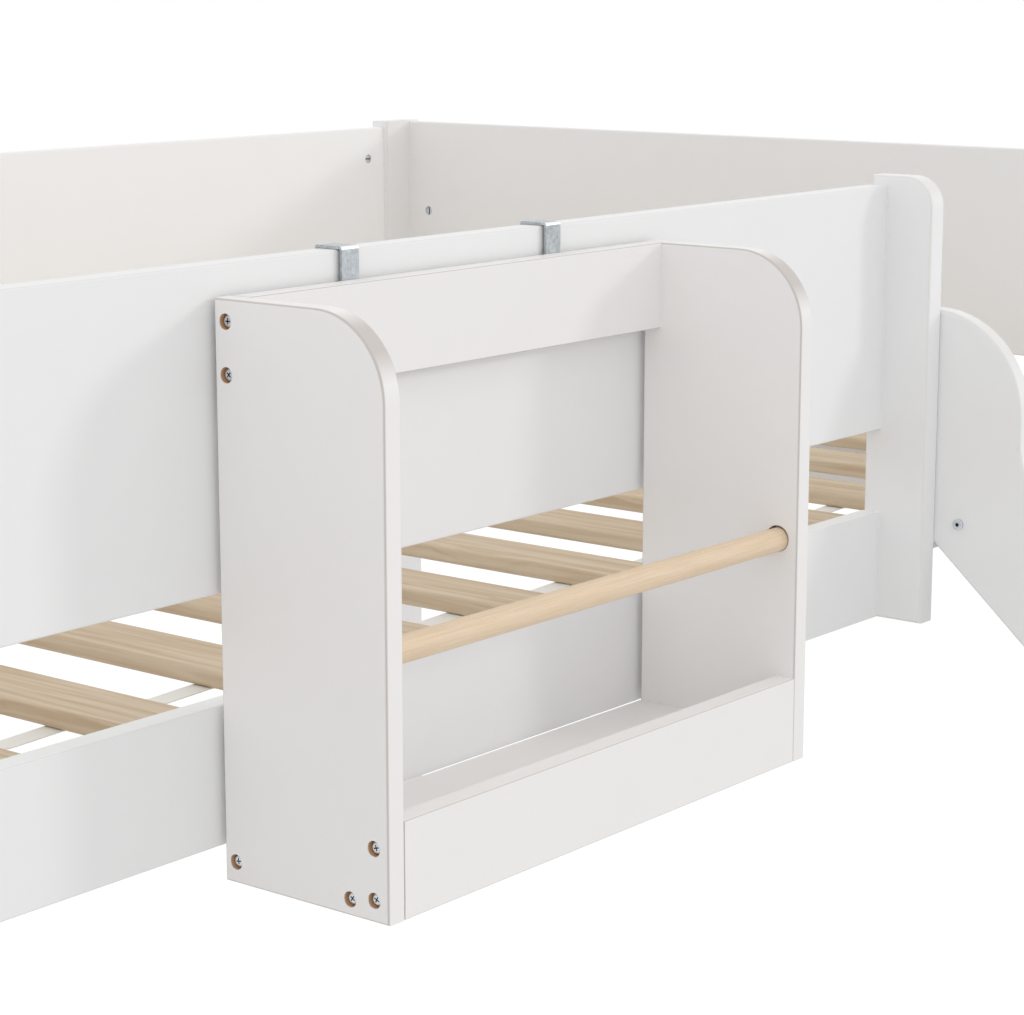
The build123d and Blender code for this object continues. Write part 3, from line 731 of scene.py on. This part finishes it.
# Slat tapes: two narrow woven cotton tapes under the slats, stapled to each one with a steel
# staple. They are drawn tight, and hang a little between the slats.
tape_thickness = 0.0008
tape_sag = 0.0015
tape_spare = 0.003
tape_inset = 0.001
gap_sag = ((0.12, 0.25), (0.5, 1), (0.88, 0.25), (1, 0))  # share of a gap, share of the sag
staple_size = (0.0009, 0.0085, 0.0006)
staple_bevel = 0.0002
staple_sink = 0.0002
weave_mm = 1.2
weave_scale = 2 * pi * 1000 / weave_mm / 20  # a wave texture has 20 / (2 pi) bands a metre
wave_out = 1
cotton, tree = new_material("woven_cotton_tape")
place = add_node(tree, "ShaderNodeTexCoord", {}, {}).outputs["Object"]
warp, weft = [
    add_node(
        tree, "ShaderNodeTexWave", {"bands_direction": direction},
        {"Vector": place, "Scale": weave_scale, "Distortion": 0.4, "Detail": 1},
    )
    for direction in ("Y", "X")
]
cloth = add_node(
    tree, "ShaderNodeMath", {"operation": "MULTIPLY"},
    {0: warp.outputs[wave_out], 1: weft.outputs[wave_out]},
)
threads = add_node(
    tree, "ShaderNodeMix", {"data_type": "RGBA"},
    {"Factor": cloth, mix_a: linear("#EFEDE6"), mix_b: linear("#FAF8F3")},
)
bump = add_node(
    tree, "ShaderNodeBump", {}, {"Height": cloth, "Strength": 0.3, "Distance": 0.0003}
)
woven = add_node(
    tree, "ShaderNodeBsdfPrincipled", {},
    {
        "Base Color": threads.outputs[mix_out], "Roughness": 0.9, "Sheen Weight": 0.3,
        "Sheen Roughness": 0.4, "Specular IOR Level": 0.2, "Normal": bump,
    },
)
add_node(tree, "ShaderNodeOutputMaterial", {}, {"Surface": woven})

slat_spans = sorted((low.x, high.x) for low, high in map(corners, loose_parts("slats")))
tape_spans = sorted((low.y, high.y) for low, high in map(corners, loose_parts("slat_ribbons")))
tape_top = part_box("slat_ribbons")[1].z
tape_middle = tape_top - tape_thickness / 2
stations = [(slat_spans[0][1], 0)]
for (_, gap_start), (gap_end, slat_end) in zip(slat_spans, slat_spans[1:]):
    gap = gap_end - gap_start
    stations += [(gap_start + gap * share, sag) for share, sag in gap_sag] + [(slat_end, 0)]
stations[-1] = (slat_spans[-1][1] - tape_inset, 0)
bm = bmesh.new()
staples = bmesh.new()
for low, high in tape_spans:
    start = [
        bm.verts.new((slat_spans[0][0] + tape_inset, y, tape_middle))
        for y in (low - tape_spare, (low + high) / 2, high + tape_spare)
    ]
    edges = [bm.edges.new((start[i], start[i + 1])) for i in range(2)]
    for x, sag in stations:
        edges, points, _ = drawn_out(bm, edges)
        for v in points:
            v.co.x = x
            v.co.z = tape_middle - tape_sag * sag
    staple_z = tape_top - tape_thickness - staple_sink
    for first, last in slat_spans:
        under = Vector(((first + last) / 2, (low + high) / 2, staple_z))
        wire = bmesh.ops.create_cube(staples, size=1)["verts"]
        bmesh.ops.scale(staples, vec=staple_size, verts=wire)
        bmesh.ops.translate(staples, vec=under, verts=wire)
bmesh.ops.recalc_face_normals(bm, faces=bm.faces)
bmesh.ops.solidify(bm, geom=list(bm.faces), thickness=tape_thickness)
bmesh.ops.recalc_face_normals(bm, faces=bm.faces)
bmesh.ops.bevel(
    staples, geom=list(staples.edges), offset=staple_bevel, segments=2, profile=0.5,
    affect="EDGES", material=-1,
)
slat_tapes = made_piece(bm, "slat_tapes", [cotton])
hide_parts("slat_ribbons")
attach(slat_tapes, "bed")
tape_staples = made_piece(staples, "tape_staples", [plated_steel])
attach(tape_staples, "bed")
